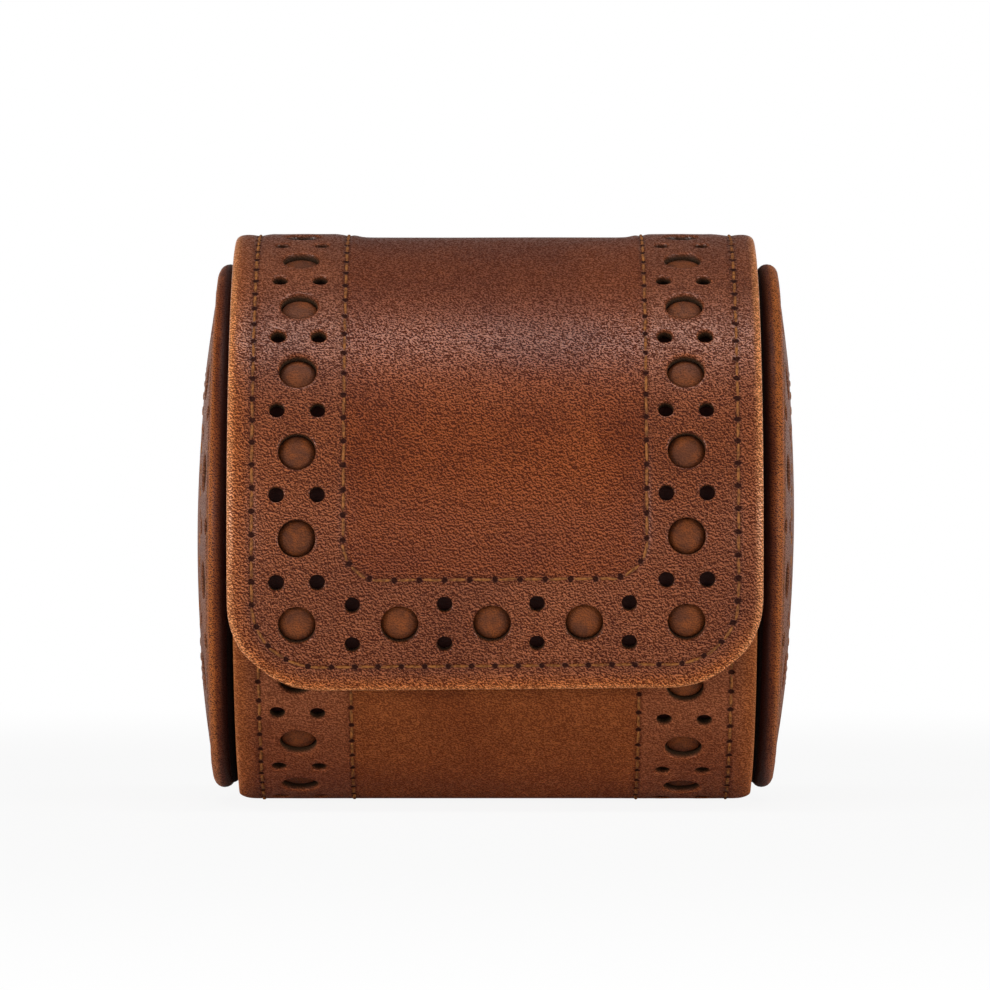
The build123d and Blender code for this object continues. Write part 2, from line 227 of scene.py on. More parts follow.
def punchedLeather(name, values):
    made, t, shader, where = newMaterial(name)
    outer = add(t, "SeparateXYZ", {0: attribute(t, "outerRow", "Vector")}).outputs
    inner = add(t, "SeparateXYZ", {0: attribute(t, "innerRow", "Vector")}).outputs
    rowOne = useGroup(t, stitchGroup, {"Side": outer[0], "Run": outer[1], "Pitch": values["outerPitch"]})
    rowTwo = useGroup(t, stitchGroup, {"Side": inner[0], "Run": inner[1], "Pitch": values["innerPitch"]})
    shadedDimple = calc(t, "MAXIMUM", rowOne["Dimple"], rowTwo["Dimple"])
    groove = calc(t, "MAXIMUM", rowOne["Groove"], rowTwo["Groove"])
    grain = useGroup(t, pebbleGroup, {"Vector": where, "Cell Size": values["grain"]})
    mottle = useGroup(t, mottleGroup, {"Vector": where, "Size": values["mottle"]})["Mask"]
    streak = useGroup(t, mottleGroup, {"Vector": where, "Size": mixed["streakSize"], "Low": 0.3,
                                       "High": 0.75})["Mask"]
    margin = useGroup(t, edgeGroup, {"Distance": outer[2], "Width": values["marginWidth"], "Vector": where,
                                     "Ragged": mixed["marginRagged"]})["Mask"]
    lipWearAndHighlight = useGroup(t, edgeGroup, {"Distance": outer[2], "Width": values["lipWidth"], "Vector": where,
                                  "Ragged": mixed["lipRagged"]})["Mask"]

    # burnished ground, lighter bands, and worn margins, made lightest low down and on the left by painted
    # light
    ground = blendColour(t, mottle, values["dark"], values["light"])
    banded = blendColour(t, mottle, values["bandDark"], values["bandLight"])
    ground = blendColour(t, inner[2], ground, banded)
    height = part(t, where, 2)
    low = spread(t, height, byPlace["lowFrom"], byPlace["lowTo"])
    sides = spread(t, part(t, where, 0), -byPlace["side"], byPlace["side"], *values["marginSides"])
    margin = times(t, margin, calc(t, "MAXIMUM", low, sides))
    ground = blendColour(t, margin, ground, values["margin"])
    ground = blendColour(t, times(t, streak, mixed["streak"]), ground, values["light"])
    # the turned lip: worn lighter, with a painted highlight where its edge catches light
    ground = blendColour(t, lipWearAndHighlight, ground, values["lipWearAndHighlight"])

    # the grain's painted highlight and shade, which are weaker over the top and along the lips
    share = times(t, minus(t, 1.0, times(t, lipWearAndHighlight, mixed["lipGrain"])), values["creaseShare"])
    smooth = spread(t, height, byPlace["topFrom"], byPlace["topTo"], 1.0, byPlace["topGrain"])
    share = times(t, share, smooth)
    # painted shade in the valleys and lower sides of the grain and in the stitch grooves, painted highlight
    # on the pebbles' upper sides
    creasesAndShade = calc(t, "MAXIMUM", times(t, grain["ShadedCrease"], share), times(t, groove, mixed["groove"]))
    ground = blendColour(t, times(t, grain["Height"], share), ground, values["ridgeHighlight"], "MULTIPLY")
    ground = blendColour(t, creasesAndShade, ground, values["creaseShade"], "MULTIPLY")

    # painted light from the table, then the walls of the holes and painted shade in the dimples
    nearTable = spread(t, height, byPlace["tableFrom"], byPlace["tableTo"])
    ground = blendColour(t, nearTable, ground, byPlace["tableGlow"], "MULTIPLY")
    wall = spread(t, attribute(t, "sunk"), mixed["wallFrom"], mixed["wallTo"])
    ground = blendColour(t, wall, ground, values["wall"])
    ground = blendColour(t, times(t, shadedDimple, mixed["shadedDimple"]), ground, values["shadedDimple"])

    # only the tops of the grain are polished
    rough = plus(t, times(t, grain["ShadedCrease"], mixed["roughCrease"]), times(t, mottle, mixed["roughMottle"]))
    rough = plus(t, rough, times(t, shadedDimple, mixed["roughDimple"]))
    polish = times(t, times(t, grain["Height"], values["coat"]), minus(t, 1.0, shadedDimple))
    relief = times(t, grain["Height"], values["grainHeight"])
    relief = minus(t, relief, times(t, shadedDimple, mixed["dimpleDepth"]))
    relief = minus(t, relief, times(t, groove, mixed["grooveDepth"]))
    finishShader(t, shader, relief, mm, {
        "Base Color": ground, "Roughness": plus(t, rough, values["rough"]), "Coat Weight": polish,
        "Coat Roughness": mixed["coatRough"], "Specular IOR Level": values["gloss"]})
    return made


flapFinish = {
    "grain": 0.00062, "grainHeight": 0.16, "mottle": 0.03, "rough": 0.42, "gloss": 0.2, "coat": 1.0,
    "outerPitch": 3.4, "innerPitch": 3.65, "marginWidth": 3.6, "marginSides": (0.68, 0.05), "lipWidth": 1.4,
    "creaseShare": 1.0, "dark": tone(106, 44, 8), "light": tone(126, 58, 16), "bandDark": tone(113, 55, 26),
    "bandLight": tone(132, 69, 36), "margin": tone(172, 90, 30), "lipWearAndHighlight": tone(214, 136, 80),
    "creaseShade": (0.34, 0.21, 0.17, 1.0), "ridgeHighlight": (2.3, 2.5, 2.6, 1.0), "wall": tone(68, 49, 33),
    "shadedDimple": tone(40, 10, 5)}
wrapFinish = dict(
    flapFinish, grainHeight=0.09, outerPitch=3.5, innerPitch=3.6, creaseShare=0.55, lipWidth=0.6, gloss=0.12,
    coat=0.12, dark=tone(126, 62, 28), light=tone(146, 78, 38), bandDark=tone(124, 64, 38),
    bandLight=tone(142, 80, 50), margin=tone(150, 80, 36), lipWearAndHighlight=tone(170, 98, 50))
capFinish = dict(
    flapFinish, grainHeight=0.07, coat=0.2, outerPitch=3.5, innerPitch=3.5, marginWidth=0.5, creaseShare=0.6,
    dark=tone(118, 60, 28), light=tone(138, 76, 38), bandDark=tone(116, 64, 38), bandLight=tone(136, 80, 50))
flapLeatherMaterial = punchedLeather("flapLeather", flapFinish)
wrapLeatherMaterial = punchedLeather("wrapLeather", wrapFinish)
capLeatherMaterial = punchedLeather("capLeather", capFinish)


# plain leathers, suede, thread and the hidden stiffening

# where the pipings get painted highlight on the outer side and painted shade beside the wrap, in metres from
# the middle of the roll, and how much
pipingLightReach = {"full": 0.0415, "middle": 0.0408, "inside": 0.0398, "most": 0.8}


def plainLeather(name, values):
    made, t, shader, where = newMaterial(name)
    grain = useGroup(t, pebbleGroup, {"Vector": where, "Cell Size": 0.0005})
    mottle = useGroup(t, mottleGroup, {"Vector": where, "Size": values["mottle"]})["Mask"]
    ground = blendColour(t, mottle, values["dark"], values["light"])
    if "pipingHighlight" in values:  # painted highlight on the outer side, painted shade beside the wrap
        across = calc(t, "ABSOLUTE", part(t, where, 0))
        pipingHighlight = spread(t, across, pipingLightReach["middle"], pipingLightReach["full"], 0.0, pipingLightReach["most"])
        shaded = spread(t, across, pipingLightReach["middle"], pipingLightReach["inside"])
        ground = blendColour(t, pipingHighlight, ground, values["pipingHighlight"])
        ground = blendColour(t, shaded, ground, values["shaded"])
    # painted shade in the creases of the grain
    ground = blendColour(t, times(t, grain["ShadedCrease"], values["creaseShare"]), ground, values["creaseShade"])
    if "hollowShade" in values:  # painted shade where the underlay isn't raised into a hole
        ground = blendColour(t, spread(t, attribute(t, "raised"), 0.05, 0.4), values["hollowShade"], ground)
    finishShader(t, shader, times(t, grain["Height"], values["grainHeight"]), mm, {
        "Base Color": ground, "Roughness": plus(t, times(t, grain["ShadedCrease"], 0.2), values["rough"]),
        "Specular IOR Level": values["gloss"]})
    return made


pipingLeatherMaterial = plainLeather("pipingLeather", {
    "grainHeight": 0.05, "mottle": 0.007, "rough": 0.42, "gloss": 0.2, "creaseShare": 0.9,
    "dark": tone(108, 46, 14), "light": tone(148, 72, 26), "creaseShade": tone(58, 20, 8),
    "pipingHighlight": tone(204, 114, 48), "shaded": tone(58, 19, 8)})
underlayLeatherMaterial = plainLeather("underlayLeather", {
    "grainHeight": 0.05, "mottle": 0.003, "rough": 0.5, "gloss": 0.25, "creaseShare": 0.6,
    "dark": tone(114, 62, 36), "light": tone(158, 84, 38), "creaseShade": tone(66, 36, 22),
    "hollowShade": tone(56, 18, 9)})
bindingLeatherMaterial = plainLeather("bindingLeather", {
    "grainHeight": 0.03, "mottle": 0.01, "rough": 0.45, "gloss": 0.3, "creaseShare": 0.5,
    "dark": tone(92, 46, 26), "light": tone(116, 62, 34), "creaseShade": tone(54, 24, 13)})
# near black: painted shade in the gap beside the rolled rim
weltPaintedShadeMaterial = plainLeather("weltPaintedShade", {
    "grainHeight": 0.03, "mottle": 0.01, "rough": 0.7, "gloss": 0.1, "creaseShare": 0.5,
    "dark": tone(22, 8, 4), "light": tone(34, 13, 7), "creaseShade": tone(14, 5, 3)})


def suede(name, values):
    made, t, shader, where = newMaterial(name)
    mottle = useGroup(t, mottleGroup, {"Vector": where, "Size": values["brushed"]})["Mask"]
    nap = add(t, "TexNoise", {"Vector": where, "Scale": values["nap"], "Detail": 3.0, "Roughness": 0.7})
    ground = blendColour(t, mottle, values["dark"], values["light"])
    ground = blendColour(t, spread(t, nap.outputs["Fac"], 0.45, 0.75, 0.0, 0.5), ground, values["fleck"])
    finishShader(t, shader, nap.outputs["Fac"], 0.00012, {
        "Base Color": ground, "Roughness": 0.92, "Specular IOR Level": 0.15, "Sheen Weight": 0.3,
        "Sheen Roughness": 0.5, "Sheen Tint": values["light"]})
    return made


liningSuedeMaterial = suede("liningSuede", {
    "brushed": 0.012, "nap": 2600.0, "dark": tone(158, 124, 90), "light": tone(174, 140, 105),
    "fleck": tone(132, 100, 70)})
cushionSuedeMaterial = suede("cushionSuede", {
    "brushed": 0.014, "nap": 2400.0, "dark": tone(164, 130, 96), "light": tone(180, 146, 110),
    "fleck": tone(138, 106, 74)})


def speckled(name, values):
    # waxed thread, pressed board, foam or plated steel: varied by a fine noise
    made, t, shader, where = newMaterial(name)
    speck = add(t, "TexNoise", {"Vector": where, "Scale": values["speck"], "Detail": values["detail"],
                                "Roughness": values["coarse"]}).outputs["Fac"]
    finishShader(t, shader, speck, values["relief"], {
        "Base Color": blendColour(t, spread(t, speck, 0.35, 0.65), values["dark"], values["light"]),
        "Roughness": values["rough"], "Metallic": values["metal"], "Specular IOR Level": values["gloss"]})
    return made


threadMaterial = speckled("waxedThread", {
    "speck": 2200.0, "detail": 2.0, "coarse": 0.5, "dark": tone(108, 60, 24), "light": tone(172, 108, 50),
    "rough": 0.6, "metal": 0.0, "gloss": 0.3, "relief": 0.00012})
# dark brown: an edge-painted board, and painted shade where the shell shows in the gap beside the wrap
boardFinish = {"speck": 700.0, "detail": 5.0, "coarse": 0.7, "dark": tone(52, 28, 18),
               "light": tone(74, 42, 26), "rough": 0.85, "metal": 0.0, "gloss": 0.5, "relief": 0.00008}
boardMaterial = speckled("fibreBoard", boardFinish)
foamMaterial = speckled("softFoam", dict(
    boardFinish, speck=1500.0, dark=tone(70, 58, 48), light=tone(96, 82, 68), rough=0.95, relief=0.0002))
steelMaterial = speckled("platedSteel", dict(
    boardFinish, speck=400.0, dark=tone(190, 188, 182), light=tone(214, 212, 206), rough=0.28, metal=1.0,
    relief=0.00001))
print("materials made")


# the two rolls that the flat leather is laid on, in millimetres: x across, s along, h out of the outer face

caseRoll = {"radius": 42.2, "height": 41.5984, "flatHalf": 7.1, "frontAngle": radians(172), "length": 171.257,
            "base": 72.18, "lowPart": 8, "flatFade": 3, "standHalf": 15, "standFade": 8,
            "wornFrom": 35.4, "wornWidth": 2.95, "wornHeight": 1.35}
flapRoll = {"radius": 45.5, "centre": (-0.8, 39.4984), "backRadius": 41.449, "backCentre": (-0.8, 43.5494),
            "tipAngle": radians(209.7), "frontLength": 95.057, "length": 129.931}
skew = {"flap": 0.010, "case": 0.029, "flapReach": 60.0, "caseReach": 150.0, "caseStart": 14.0}


def clamp(t):
    return min(max(t, 0.0), 1.0)


def ease(t):
    t = clamp(t)
    return t * t * (3 - 2 * t)


def onCase(x, s, h):
    r = caseRoll["radius"]
    angle = caseRoll["frontAngle"] + s / r
    y, z = r * cos(angle), caseRoll["height"] + r * sin(angle)
    out = Vector((0, cos(angle), sin(angle)))
    if z < caseRoll["lowPart"]:  # where the roll is pressed flat
        fade = caseRoll["flatFade"]
        flat = ease((caseRoll["flatHalf"] + fade / 2 - abs(y)) / fade)
        z = max(z, 0.0)
        out = out.lerp(Vector((0, 0, -1)), flat).normalized()
    point = Vector((x, y, z)) + out * h
    t = clamp((abs(x) - caseRoll["wornFrom"]) / caseRoll["wornWidth"])
    wornRound = caseRoll["wornHeight"] * (1 - sqrt(1 - t * t))
    point.z = max(point.z, 0.12 - 0.4 * h, wornRound)  # its layers keep their order above the table
    return point * mm


def onFlap(x, s, h):
    if s < flapRoll["frontLength"]:
        r, centre = flapRoll["radius"], flapRoll["centre"]
        angle = flapRoll["tipAngle"] - s / r
    else:
        r, centre = flapRoll["backRadius"], flapRoll["backCentre"]
        angle = pi / 2 - (s - flapRoll["frontLength"]) / r
    return Vector((x, centre[0] + (r + h) * cos(angle), centre[1] + (r + h) * sin(angle))) * mm


def onHinge(x, run, h):
    # run is measured from the hinge line, below it on the case and above it on the flap
    return onCase(x, caseRoll["length"] + run, h) if run < 0 else onFlap(x, flapRoll["length"] - run, h)


# rows of stitches: each follows a rounded corner of its own, or runs straight where it has no bottom

flapOuter = {"half": 35.3, "bottom": 4.3, "radius": 9.9, "pitch": 3.4}
flapInner = {"half": 22.0, "bottom": 17.5, "radius": 5.5, "pitch": 3.65}
flapEdge = {"half": 38.95, "bottom": 0.0, "radius": 13.9}
caseOuter = {"half": 34.6, "bottom": -999.0, "radius": 5.0, "pitch": 3.5}
caseInner = dict(caseOuter, half=21.1, pitch=3.6)
caseEdge = dict(caseOuter, half=38.3)


def beside(x, s, row):
    # signed distance from a row: below zero towards the middle panel
    a = abs(x) - row["half"] + row["radius"]
    b = row["bottom"] + row["radius"] - s
    return hypot(max(a, 0.0), max(b, 0.0)) + min(max(a, b), 0.0) - row["radius"]


def runAlong(x, s, row):
    # distance along a row from the middle of the lower edge
    if row["bottom"] < -99:
        return s
    a = abs(x) - row["half"] + row["radius"]
    b = row["bottom"] + row["radius"] - s
    straight = row["half"] - row["radius"]
    if a > 0 and b > 0:
        return straight + row["radius"] * atan2(a, b)
    if a > b:
        return straight + row["radius"] * pi / 2 - b
    return abs(x)


def pointAlong(run, row):
    # the point and the direction at a distance along a row, on the right-hand side
    straight, r = row["half"] - row["radius"], row["radius"]
    if row["bottom"] < -99:
        return row["half"], run, pi / 2
    if run < straight:
        return run, row["bottom"], 0.0
    turn = (run - straight) / r
    if turn < pi / 2:
        return straight + r * sin(turn), row["bottom"] + r - r * cos(turn), turn
    return row["half"], row["bottom"] + run - straight - r * pi / 2 + r, pi / 2


# the worked face of the leather, and how deep its cut edges and its rows go

relief = {"leather": 1.6, "panelDrop": 0.42, "stepStart": 0.7, "stepWidth": 1.5, "groove": 0.26,
          "grooveWidth": 0.5, "edgeRound": 0.95, "edgeWidth": 1.5, "puff": 0.12, "waves": 0.06,
          "waveLength": 14, "wallDepth": 0.9}
deep = relief["leather"]


def surface(x, s, edge, outer, inner, seed):
    # height of the worked outer face over the plain roll
    edgeGap = -beside(x, s, edge)
    fromOuter, fromInner = beside(x, s, outer), beside(x, s, inner)
    h = -relief["panelDrop"] * ease((-fromInner - relief["stepStart"]) / relief["stepWidth"])
    for gap in (fromOuter, fromInner):
        h -= relief["groove"] * exp(-((gap / relief["grooveWidth"]) ** 2))
    if fromInner > 0 > fromOuter:
        h += relief["puff"] * (1 - exp(-min(fromInner, -fromOuter)))
    t = 1 - clamp(edgeGap / relief["edgeWidth"])
    h -= relief["edgeRound"] * (1 - sqrt(max(1 - t * t, 0.0)))
    length = relief["waveLength"]
    return h + relief["waves"] * noise.noise(Vector((x / length, s / length, seed)))


def flapSurface(x, s):
    return surface(x, s, flapEdge, flapOuter, flapInner, 3.1)


def caseSurface(x, s):
    # no relief on the flat that it stands on
    standing = ease((caseRoll["standHalf"] - abs(s - caseRoll["base"])) / caseRoll["standFade"])
    return surface(x, s, caseEdge, caseOuter, caseInner, 8.7) * (1 - standing)


def roundCorner(a, b, start, full, last=1e9, end=1e9):
    # squares round a corner's centre become rings between full and last, and squares again by end
    m = max(a, b)
    if min(a, b) <= 0 or m <= start or m >= end:
        return a, b
    r = hypot(a, b)
    if m < full:
        wanted = (start * r / m) + (full - start * r / m) * (m - start) / (full - start)
    elif m <= last:
        wanted = m
    else:
        wanted = last + (end * r / m - last) * (m - last) / (end - last)
    return a * wanted / r, b * wanted / r


# the grid of the flap is bent round its corners, and round those of the inner row of stitches

bent = {"outer": (4.5, 10.25), "innerX": 16.5, "innerS": 23.0, "inner": (1.5, 3.3, 5.85, 8.3),
        "hemRow": 3.65, "hemEnd": 7.05, "hemLift": 0.65}


def flapShape(x, s):
    side = 1 if x >= 0 else -1
    x = abs(x)
    centre = flapEdge["half"] - flapEdge["radius"]
    a, b = roundCorner(x - centre, flapEdge["radius"] - s, *bent["outer"])
    if a != x - centre or b != flapEdge["radius"] - s:
        x, s = centre + a, flapEdge["radius"] - b
    else:
        a, b = roundCorner(x - bent["innerX"], bent["innerS"] - s, *bent["inner"])
        x, s = bent["innerX"] + a, bent["innerS"] - b
    hem = bent["hemRow"]
    lift = s / hem if s < hem else max(0.0, (bent["hemEnd"] - s) / (bent["hemEnd"] - hem))
    return side * x, s + bent["hemLift"] * lift


def sameShape(x, s):
    return x, s


def lineAt(lines, value):
    # the line of the grid that stands at a value, or just after it
    return bisect_left(lines, value - 0.05)


def bridge(bm, low, high):
    for k in range(len(low)):
        bm.faces.new([low[k - 1], low[k], high[k], high[k - 1]])
    return high


def plate(us, vs, shape, holes, depth, walls="lrbt", through=True):
    # a flat plate in two layers on a grid, with round holes or domes let into it
    bm = bmesh.new()
    boxes, hiddenVerts, hiddenCells = [], set(), set()
    for hole in holes:
        lowU, highU, lowV, highV = hole[2]
        i0, i1, j0, j1 = lineAt(us, lowU), lineAt(us, highU), lineAt(vs, lowV), lineAt(vs, highV)
        boxes.append((i0, i1, j0, j1))
        hiddenVerts |= {(i, j) for i in range(i0 + 1, i1) for j in range(j0 + 1, j1)}
        hiddenCells |= {(i, j) for i in range(i0, i1) for j in range(j0, j1)}
    layers = []
    for level in (0.0, -depth):
        cut = through or level == 0.0
        verts = {}
        for i, u in enumerate(us):
            for j, v in enumerate(vs):
                if not (cut and (i, j) in hiddenVerts):
                    x, s = shape(u, v)
                    verts[i, j] = bm.verts.new((x, s, level))
        for i in range(len(us) - 1):
            for j in range(len(vs) - 1):
                if not (cut and (i, j) in hiddenCells):
                    bm.faces.new([verts[i, j], verts[i + 1, j], verts[i + 1, j + 1], verts[i, j + 1]])
        layers.append(verts)
    top, under = layers
    sides = {"l": [(0, j) for j in range(len(vs))], "r": [(len(us) - 1, j) for j in range(len(vs))],
             "b": [(i, 0) for i in range(len(us))], "t": [(i, len(vs) - 1) for i in range(len(us))]}
    for wall in walls:
        line = sides[wall]
        for here, there in zip(line, line[1:]):
            bm.faces.new([top[here], top[there], under[there], under[here]])
    for ((cx, cs), profile, box), (i0, i1, j0, j1) in zip(holes, boxes):
        loop = [(i, j0) for i in range(i0, i1)] + [(i1, j) for j in range(j0, j1)]
        loop += [(i, j1) for i in range(i1, i0, -1)] + [(i0, j) for j in range(j1, j0, -1)]
        angles = [atan2(top[k].co.y - cs, top[k].co.x - cx) for k in loop]
        last = [top[k] for k in loop]
        for radius, level in profile:
            circle = [bm.verts.new((cx + radius * cos(a), cs + radius * sin(a), level)) for a in angles]
            last = bridge(bm, last, circle)
        if through:
            bridge(bm, last, [under[k] for k in loop])
        else:
            bm.faces.new(last)
    return bm


def layOver(bm, place):
    # lays a flat plate over a roll, a dome or an end board
    for v in bm.verts:
        v.co = place(*v.co)
    bmesh.ops.remove_doubles(bm, verts=bm.verts, dist=1e-6)
    return bm


def finishLeather(bm, name, measure, place, height):
    # keeps what the shader needs as attributes, then lays the worked leather in its place
    outerLayer = bm.verts.layers.float_vector.new("outerRow")
    innerLayer = bm.verts.layers.float_vector.new("innerRow")
    sunkLayer = bm.verts.layers.float.new("sunk")
    for v in bm.verts:
        x, s, z = v.co
        v[outerLayer], v[innerLayer] = measure(x, s)
        v[sunkLayer] = min(-z / relief["wallDepth"], 1.0)
    layOver(bm, lambda x, s, z: place(x, s, z + (1 + z / deep) * height(x, s)))
    return toObject(bm, name, 1)


def besideRows(edge, outer, inner):
    def measure(x, s):
        fromInner = beside(x, s, inner)
        return ((beside(x, s, outer), runAlong(x, s, outer), -beside(x, s, edge)),
                (fromInner, runAlong(x, s, inner), ease(fromInner + 0.5)))
    return measure


def smoothed(piece, levels):
    smoother = piece.modifiers.new("smoother", "SUBSURF")
    smoother.levels = smoother.render_levels = levels
    bpy.ops.object.modifier_apply(modifier=smoother.name)


def toObject(bm, name, subdivide=0, angle=None):
    bmesh.ops.recalc_face_normals(bm, faces=bm.faces)
    mesh = bpy.data.meshes.new(name)
    bm.to_mesh(mesh)
    bm.free()
    made = bpy.data.objects.new(name, mesh)
    scene.collection.objects.link(made)
    bpy.ops.object.select_all(action="DESELECT")
    made.select_set(True)
    bpy.context.view_layer.objects.active = made
    if subdivide:
        smoothed(made, subdivide)
    if angle:
        bpy.ops.object.shade_smooth_by_angle(angle=radians(angle))
    else:
        bpy.ops.object.shade_smooth()
    return made


def settle(name):
    # names the primitive that was just added, and puts its place into its mesh
    made = bpy.context.object
    made.name = name
    bpy.ops.object.transform_apply(location=True, rotation=True, scale=True)
    return made


def ringAt(name, plane, height, major, minor, segments):
    bpy.ops.object.select_all(action="DESELECT")
    bpy.ops.mesh.primitive_torus_add(
        major_radius=major * mm, minor_radius=minor * mm, major_segments=segments[0],
        minor_segments=segments[1], rotation=(0, pi / 2, 0), location=(plane * mm, 0, height * mm))
    made = settle(name)
    bpy.ops.object.shade_smooth()
    return made


def dress(piece, body, material, slotName, *nodes):
    piece.data.materials.clear()
    piece.data.materials.append(material)
    if body:
        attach(piece, body)
    if nodes:
        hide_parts(*nodes)
    return piece


# punched holes: big ones in a row, small ones in pairs between them; each is its centre, profile and box

punch = {"flapLeft": -28.75, "flapRight": 27.8, "caseLeft": -29.0, "caseRight": 27.8, "big": 2.75,
         "small": 1.15, "bigLip": 0.36, "smallLip": 0.22, "pairHalf": 2.97, "pitch": 12.75, "block": 1.275,
         "edgeRow": 10.9, "edgePitch": 13.4, "edgePair": 3.0, "edgeShift": 0.45, "caseFirst": 30.8}
edgeBox = {"big": 4.02, "small": 2.68, "corner": 2.25}
flapCentres = (punch["flapLeft"], punch["flapRight"])
caseCentres = (punch["caseLeft"], punch["caseRight"])


def holeProfile(radius, depth, lipWearAndHighlight):
    return [(radius + lipWearAndHighlight, 0.0), (radius + lipWearAndHighlight * 0.4, -0.05), (radius + lipWearAndHighlight * 0.08, -0.22), (radius, -0.55),
            (radius, -depth), (radius + lipWearAndHighlight, -depth)]


def domeProfile(radius, rise):
    return [(radius + 0.2, 0.0), (radius, rise * 0.28), (radius * 0.92, rise * 0.58),
            (radius * 0.74, rise * 0.8), (radius * 0.46, rise * 0.94), (radius * 0.16, rise)]


def sidePattern(centres, bigRows, pairRows, big, small):
    holes = []
    b = punch["block"]
    for c in centres:
        for s in bigRows:
            holes.append(((c, s), big, (c - 3 * b, c + 3 * b, s - 3 * b, s + 3 * b)))
        for s in pairRows if small else ():
            for way in (-1, 1):
                low = c + (0 if way > 0 else -4 * b)
                box = (low, low + 4 * b, s - 2 * b, s + 2 * b)
                holes.append(((c + way * punch["pairHalf"], s), small, box))
    return holes


def edgePattern(big, small):
    holes = []
    s, b, shift = punch["edgeRow"], punch["block"], punch["edgeShift"]
    for k in (-1, 0, 1):
        x = k * punch["edgePitch"]
        box = (x - edgeBox["big"], x + edgeBox["big"], s - 3 * b, s + 3 * b)
        holes.append(((x - shift, s), big, box))
    for k in (-1.5, -0.5, 0.5, 1.5) if small else ():
        x = k * punch["edgePitch"]
        wide, reach = edgeBox["small"], edgeBox["small" if abs(k) < 1 else "corner"]
        columns = (x - wide, x + reach) if k > 0 else (x - reach, x + wide)
        for way in (-1, 1):
            low = s + (0 if way > 0 else -4 * b)
            box = (*columns, low, low + 4 * b)
            holes.append(((x - 1.4 * shift, s + way * punch["edgePair"]), small, box))
    return holes


def withBands(half, centres):
    # the columns of one half, mirrored, and those of the holes on each side
    bands = [c + punch["block"] * k for c in centres for k in range(-4, 5)]
    return sorted([-x for x in half[1:]] + half + bands)


stripReach = 7.0  # the hinge leather takes over this far from the hinge line
flapColumns = withBands([1.34 * k for k in range(16)] + [21.0, 21.65, 22.0, 22.35, 34.95, 35.3, 35.65, 36.6,
                                                         37.5, 38.2, 38.6, 38.85, 38.95], flapCentres)
flapTop = flapRoll["length"] - stripReach
flapRows = [0.0, 0.1, 0.35, 0.75, 1.45, 2.35, 3.3, 3.65, 4.0, 4.8, 5.8]
flapRows += [punch["edgeRow"] + punch["block"] * k for k in range(-3, 5)] + [17.15, 17.5, 17.85, 18.6]
flapRows += [punch["edgeRow"] + punch["block"] * k for k in range(7, 100)]
flapRows = [s for s in flapRows if s < flapTop - 0.5] + [flapTop]
bigOnFlap = [punch["edgeRow"] + punch["pitch"] * k for k in range(9)]
pairsOnFlap = [s + punch["pitch"] / 2 for s in bigOnFlap]

caseColumns = withBands([0.0, 2.25, 4.5, 7.0, 9.5, 12.0, 14.5, 17.0, 19.2, 20.0, 20.75, 21.1, 21.45, 22.3,
                         34.25, 34.6, 34.95, 36.0, 37.0, 37.6, 38.0, 38.2, 38.3], caseCentres)
caseTop = caseRoll["length"] - stripReach
caseRows = [0.7] + [punch["caseFirst"] + punch["block"] * k for k in range(-23, 120)]
caseRows = [s for s in caseRows if s < caseTop - 0.5] + [caseTop]
bigOnCase = [punch["caseFirst"] + punch["pitch"] * k for k in range(11)]
pairsOnCase = [s + punch["pitch"] / 2 for s in bigOnCase[:-1]]


def flapPattern(big, small):
    return sidePattern(flapCentres, bigOnFlap, pairsOnFlap, big, small) + edgePattern(big, small)


def casePattern(big, small):
    return sidePattern(caseCentres, bigOnCase, pairsOnCase, big, small)


def skewed(place, share, length, start=0.0):
    # the leather isn't laid on quite square: its slight turn dies away towards the hinge and the bound edge
    def skewedPlace(x, s, h):
        turned = share * x * ease(1 - s / length) * (ease(s / start) if start else 1)
        return place(x, s + turned, h)
    return skewedPlace


layFlap = skewed(onFlap, skew["flap"], skew["flapReach"])
layCase = skewed(onCase, skew["case"], skew["caseReach"], skew["caseStart"])
bigCut = holeProfile(punch["big"], deep, punch["bigLip"])
smallCut = holeProfile(punch["small"], deep, punch["smallLip"])

bm = plate(flapColumns, flapRows, flapShape, flapPattern(bigCut, smallCut), deep)
rowsOfFlap = besideRows(flapEdge, flapOuter, flapInner)
flapLeather = finishLeather(bm, "flapLeather", rowsOfFlap, layFlap, flapSurface)
dress(flapLeather, "flap", flapLeatherMaterial, "outer_leather", "flap_leather")

bm = plate(caseColumns, caseRows, sameShape, casePattern(bigCut, smallCut), deep)
rowsOfCase = besideRows(caseEdge, caseOuter, caseInner)
wrapLeather = finishLeather(bm, "wrapLeather", rowsOfCase, layCase, caseSurface)
dress(wrapLeather, "case", wrapLeatherMaterial, "outer_leather", "wrap_leather")
print("punched leather laid on", len(flapLeather.data.polygons), len(wrapLeather.data.polygons))


# the tan leather under the punched holes, domed up into each big one

floorDome = domeProfile(2.7, 1.0)


def layer(name, columns, rows, shape, holes, place, values, walls="lrbt"):
    # a thin sheet laid under the leather, or over the inside, that keeps how far each dome stands up
    bm = plate(columns, rows, shape, holes, values["thick"], walls, through=False)
    raised = bm.verts.layers.float.new("raised")
    for v in bm.verts:
        v[raised] = max(v.co.z, 0.0)
    layOver(bm, lambda x, s, z: place(x, s, z - values["below"]))
    return dress(toObject(bm, name), values["body"], values["material"], values["slot"], *values["nodes"])


def narrowed(columns, drop):
    # the same columns without the outermost ones
    return [x for x in columns if abs(x) < max(columns) - drop]


